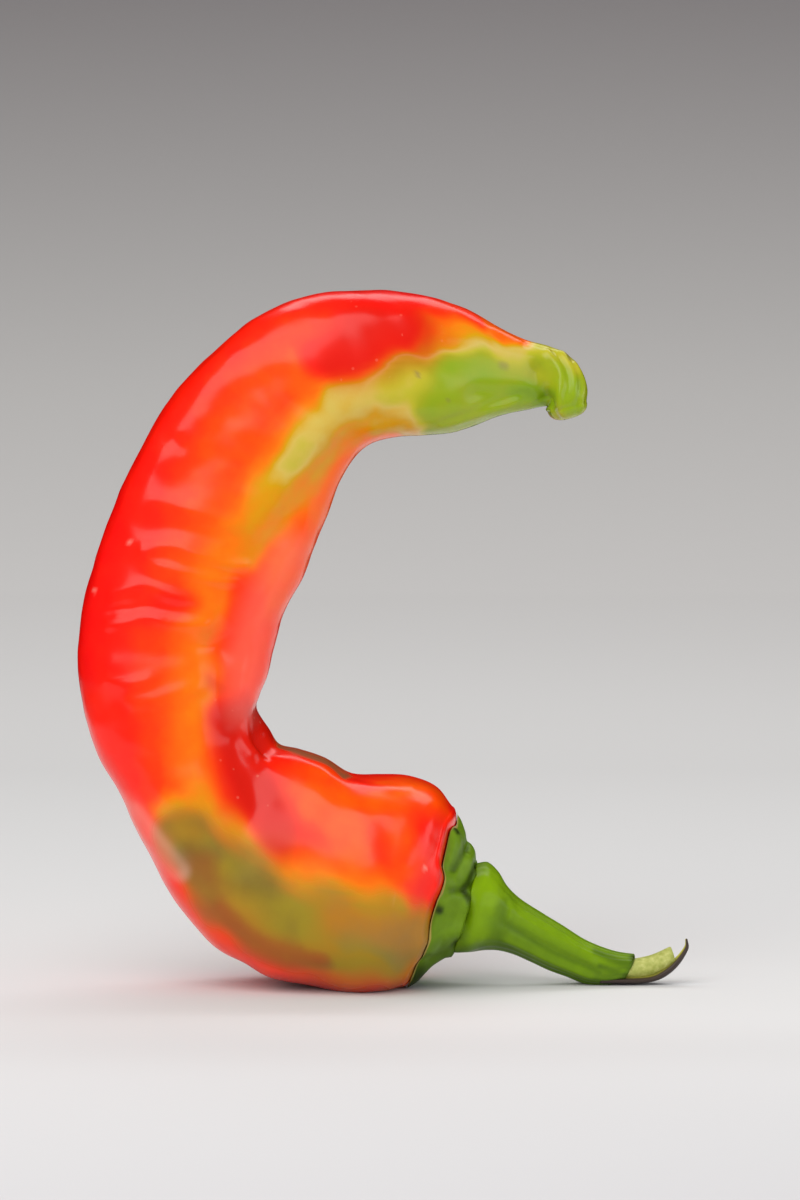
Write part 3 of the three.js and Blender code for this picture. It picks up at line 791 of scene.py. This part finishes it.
def waxy_pod_skin():
    """Chilli skin: a smooth waxy cuticle, so lamps show in it as clear pale shapes, over moist flesh
    that lets a little light in."""
    material, tree = new_material("waxy_pod_skin")
    spot = add_node(tree, "ShaderNodeTexCoord").outputs["Object"]
    paint = {field: add_node(tree, "ShaderNodeAttribute", attribute_name=field).outputs["Fac"]
             for field in POD_PAINT}
    # Blotches of pigment shift the ripeness, and the tone of the unripe patch, a little.
    blotch = add_node(tree, "ShaderNodeTexNoise", {
        "Vector": spot, "Scale": pattern_scale(PIGMENT_BLOTCH), "Detail": 3}).outputs["Fac"]
    colour = shifted_colour(tree, paint["ripeness"], blotch, 0.1, RIPENING)
    unripe = shifted_colour(tree, paint["tone_and_shading"], blotch, 0.2, UNRIPE)
    # Pale corky specks about half a millimetre wide dot the darkest red, the painted shade, here and
    # there.
    cells = add_node(tree, "ShaderNodeTexVoronoi", {"Vector": spot, "Scale": pattern_scale(SPECK_GAP)})
    speck = add_node(tree, "ShaderNodeMapRange", {"Value": cells.outputs["Distance"], "From Min": 0.16,
                                                  "From Max": 0.08, "To Max": 0.2}).outputs["Result"]
    here = add_node(tree, "ShaderNodeMath", {0: blotch, 1: 0.52}, operation="GREATER_THAN").outputs[0]
    for limit in (here, paint["deep"]):
        speck = add_node(tree, "ShaderNodeMath", {0: speck, 1: limit}, operation="MULTIPLY").outputs[0]
    # Over the ripeness: painted shade, the unripe patch, painted reflection with pale specks, scars and
    # specks.
    layers = [(paint["deep"], srgb("#c81404")), (paint["olive"], unripe),
              (paint["reflection_and_specks"], srgb("#f6c4b0")), (paint["scar"], srgb("#7c6a4c")),
              (speck, srgb("#f0b090"))]
    for cover, layer in layers:
        colour = add_node(tree, "ShaderNodeMix", {"Factor": cover, MIX_UNDER: colour, MIX_OVER: layer},
                          data_type="RGBA").outputs[MIX_RESULT]
    fine = add_node(tree, "ShaderNodeTexNoise", {
        "Vector": spot, "Scale": pattern_scale(SKIN_GRAIN), "Detail": 2})
    bump = add_node(tree, "ShaderNodeBump", {"Height": fine.outputs["Fac"], "Strength": 0.04,
                                             "Distance": 0.0002})
    # The unripe patch is duller than the ripe skin.
    dull = add_node(tree, "ShaderNodeMapRange", {"Value": paint["olive"], "To Min": 0.22, "To Max": 0.4})
    shader = add_node(tree, "ShaderNodeBsdfPrincipled", {
        "Base Color": colour, "Roughness": dull.outputs["Result"], "IOR": 1.4,
        "Subsurface Weight": 0.06, "Subsurface Radius": (0.004, 0.0015, 0.0008),
        "Subsurface Scale": 1.0, "Normal": bump.outputs["Normal"]})
    add_node(tree, "ShaderNodeOutputMaterial", {"Surface": shader.outputs["BSDF"]})
    return material


def leathery_calyx_green():
    """Calyx tissue: a leathery green whose soft sheen shows its lumps, with painted shade in its dips and
    painted light on its lumps.
    """
    material, tree = new_material("leathery_calyx_green")
    spot = add_node(tree, "ShaderNodeTexCoord").outputs["Object"]
    tone_and_shading = add_node(tree, "ShaderNodeAttribute", attribute_name="tone_and_shading").outputs["Fac"]
    rim = add_node(tree, "ShaderNodeAttribute", attribute_name="rim").outputs["Fac"]
    mottle = add_node(tree, "ShaderNodeTexNoise", {
        "Vector": spot, "Scale": pattern_scale(CALYX_MOTTLE), "Detail": 4}).outputs["Fac"]
    # Painted light and shade: the green is read along strokes that lighten the lumps and darken the
    # creases.
    green = shifted_colour(tree, tone_and_shading, mottle, 0.3, CALYX_GREENS)
    # The very edge on the pod is dry and tan.
    edged = add_node(tree, "ShaderNodeMix", {"Factor": rim, MIX_UNDER: green,
                                             MIX_OVER: srgb("#a8924a")}, data_type="RGBA")
    bump = add_node(tree, "ShaderNodeBump", {"Height": mottle, "Strength": 0.15, "Distance": 0.0004})
    shader = add_node(tree, "ShaderNodeBsdfPrincipled", {
        "Base Color": edged.outputs[MIX_RESULT], "Roughness": 0.42, "Specular IOR Level": 0.15,
        "Normal": bump.outputs["Normal"]})
    add_node(tree, "ShaderNodeOutputMaterial", {"Surface": shader.outputs["BSDF"]})
    return material


def ribbed_stem_green():
    """Fresh stem: bright green and faintly waxy, so its ridges carry soft lengthwise lights, with painted
    light and shade on its front as well.
    """
    material, tree = new_material("ribbed_stem_green")
    spot = add_node(tree, "ShaderNodeTexCoord").outputs["Object"]
    tone_and_shading = add_node(tree, "ShaderNodeAttribute", attribute_name="tone_and_shading").outputs["Fac"]
    mottle = add_node(tree, "ShaderNodeTexNoise", {
        "Vector": spot, "Scale": pattern_scale(STEM_MOTTLE), "Detail": 3}).outputs["Fac"]
    # Painted light and shade: the green is read along strokes that lighten the top and darken the
    # underside.
    green = shifted_colour(tree, tone_and_shading, mottle, 0.24, STEM_GREENS)
    bump = add_node(tree, "ShaderNodeBump", {"Height": mottle, "Strength": 0.2, "Distance": 0.0003})
    shader = add_node(tree, "ShaderNodeBsdfPrincipled", {
        "Base Color": green, "Roughness": 0.3, "Specular IOR Level": 0.15,
        "Normal": bump.outputs["Normal"]})
    add_node(tree, "ShaderNodeOutputMaterial", {"Surface": shader.outputs["BSDF"]})
    return material


def pale_pith():
    """Torn pith: pale, dry and matt, with short fibres that roughen it."""
    material, tree = new_material("pale_pith")
    spot = add_node(tree, "ShaderNodeTexCoord").outputs["Object"]
    fibre = add_node(tree, "ShaderNodeTexNoise", {
        "Vector": spot, "Scale": pattern_scale(PITH_FIBRE), "Detail": 4}).outputs["Fac"]
    pale = add_node(tree, "ShaderNodeValToRGB", {"Fac": fibre})
    set_stops(pale, [(0.3, "#929a3c"), (0.6, "#b2b660"), (0.8, "#cccf88")])
    bump = add_node(tree, "ShaderNodeBump", {"Height": fibre, "Strength": 0.4, "Distance": 0.0003})
    shader = add_node(tree, "ShaderNodeBsdfPrincipled", {
        "Base Color": pale.outputs["Color"], "Roughness": 0.6, "Normal": bump.outputs["Normal"]})
    add_node(tree, "ShaderNodeOutputMaterial", {"Surface": shader.outputs["BSDF"]})
    return material


def torn_peel():
    """The strip of stem skin that tore off with the pith: brown beneath, yellow-green on top."""
    material, tree = new_material("torn_peel")
    under = add_node(tree, "ShaderNodeAttribute", attribute_name="under").outputs["Fac"]
    peel = add_node(tree, "ShaderNodeValToRGB", {"Fac": under})
    set_stops(peel, [(0.04, "#c4c250"), (0.12, "#8e8a34"), (0.24, "#3c2c20"), (1.0, "#2a1e1c")])
    shader = add_node(tree, "ShaderNodeBsdfPrincipled", {
        "Base Color": peel.outputs["Color"], "Roughness": 0.5})
    add_node(tree, "ShaderNodeOutputMaterial", {"Surface": shader.outputs["BSDF"]})
    return material


def backdrop_paper():
    """Matt studio paper: pale on the floor, with painted shade that greys it as it climbs."""
    material, tree = new_material("backdrop_paper")
    spot = add_node(tree, "ShaderNodeTexCoord").outputs["Object"]
    parts = add_node(tree, "ShaderNodeSeparateXYZ", {"Vector": spot})
    path = add_node(tree, "ShaderNodeMath", {0: parts.outputs["Y"], 1: parts.outputs["Z"]},
                    operation="ADD")
    share = add_node(tree, "ShaderNodeMapRange", {"Value": path.outputs[0],
                                                  "From Min": PAPER_SHADING_SPAN[0],
                                                  "From Max": PAPER_SHADING_SPAN[1]})
    # Painted shade: the grey deepens as the paper climbs.
    grey = add_node(tree, "ShaderNodeValToRGB", {"Fac": share.outputs["Result"]})
    set_stops(grey, PAPER_PAINTED_SHADES)
    shader = add_node(tree, "ShaderNodeBsdfPrincipled", {
        "Base Color": grey.outputs["Color"], "Roughness": 0.9, "Specular IOR Level": 0.1})
    add_node(tree, "ShaderNodeOutputMaterial", {"Surface": shader.outputs["BSDF"]})
    return material


def add_paper(name, points, faces):
    mesh = bpy.data.meshes.new(name)
    mesh.from_pydata(points, [], faces)
    mesh.shade_smooth()
    paper = bpy.data.objects.new(name, mesh)
    bpy.context.scene.collection.objects.link(paper)
    mesh.materials.append(bpy.data.materials.get("backdrop_paper") or backdrop_paper())
    return paper


def make_backdrop():
    """The paper: a tabletop, the floor round it, a wide curve, and a wall well behind."""
    left, right, front, back = TABLETOP
    corners = [(left, front, 0), (right, front, 0), (right, back, 0), (left, back, 0)]
    add_paper("tabletop", corners, [(0, 1, 2, 3)])
    turn = np.linspace(0, np.pi / 2, SWEEP_STEPS)[1:]
    profile = [(PAPER_FRONT, 0.0), (front, 0.0), (back, 0.0), (SWEEP_START, 0.0)]
    profile += [(SWEEP_START + SWEEP_RADIUS * np.sin(a), SWEEP_RADIUS * (1 - np.cos(a))) for a in turn]
    profile.append((SWEEP_START + SWEEP_RADIUS, WALL_TOP))
    columns = (-PAPER_HALF_WIDTH, left, right, PAPER_HALF_WIDTH)
    points = [(x, y, z) for y, z in profile for x in columns]
    n = len(columns)
    # The tabletop fills the paper's cell in its second row and second column.
    faces = [
        (n * row + column, n * row + column + 1, n * (row + 1) + column + 1, n * (row + 1) + column)
        for row in range(len(profile) - 1)
        for column in range(n - 1)
        if (row, column) != (1, 1)
    ]
    add_paper("backdrop", points, faces).visible_glossy = False


def add_softbox(name, place, aim, width, height, power, tint, in_gloss):
    """A rectangular lamp aimed at a spot, which the pepper's gloss mirrors or leaves out."""
    lamp = bpy.data.lights.new(name, "AREA")
    lamp.shape = "RECTANGLE"
    lamp.size, lamp.size_y = width, height
    lamp.energy = power
    lamp.color = srgb(tint)[:3]
    softbox = bpy.data.objects.new(name, lamp)
    softbox.location = place
    softbox.visible_camera = False
    softbox.visible_glossy = in_gloss
    softbox.rotation_euler = (Vector(aim) - Vector(place)).to_track_quat("-Z", "Y").to_euler()
    bpy.context.scene.collection.objects.link(softbox)


def light_studio():
    """The softboxes, and even light from all round."""
    scene = bpy.context.scene
    scene.view_settings.view_transform = "Standard"
    world = bpy.data.worlds.new("studio_air")
    world.use_nodes = True
    world.node_tree.nodes["Background"].inputs["Color"].default_value = srgb("#fbfbff")
    world.node_tree.nodes["Background"].inputs["Strength"].default_value = AIR_STRENGTH
    # The room is dark in the pepper's gloss, so only the softboxes and the tabletop show there.
    world.cycles_visibility.glossy = False
    scene.world = world
    for softbox in SOFTBOXES:
        add_softbox(*softbox)


def place_camera():
    """The photograph's view: nearly level, from a little above the pepper, through a long lens."""
    lens = bpy.data.cameras.new("camera")
    lens.sensor_fit = "VERTICAL"
    lens.sensor_height = SENSOR_HEIGHT
    lens.lens = SENSOR_HEIGHT * CAMERA_DISTANCE / FRAME_HEIGHT
    camera = bpy.data.objects.new("camera", lens)
    back = Vector((0, -np.cos(CAMERA_ELEVATION), np.sin(CAMERA_ELEVATION)))
    camera.location = Vector(CAMERA_AIM) + back * CAMERA_DISTANCE
    camera.rotation_euler = (-back).to_track_quat("-Z", "Y").to_euler()
    bpy.context.scene.collection.objects.link(camera)
    bpy.context.scene.camera = camera


make_pod()
make_stem(make_calyx())
make_backdrop()
light_studio()
place_camera()
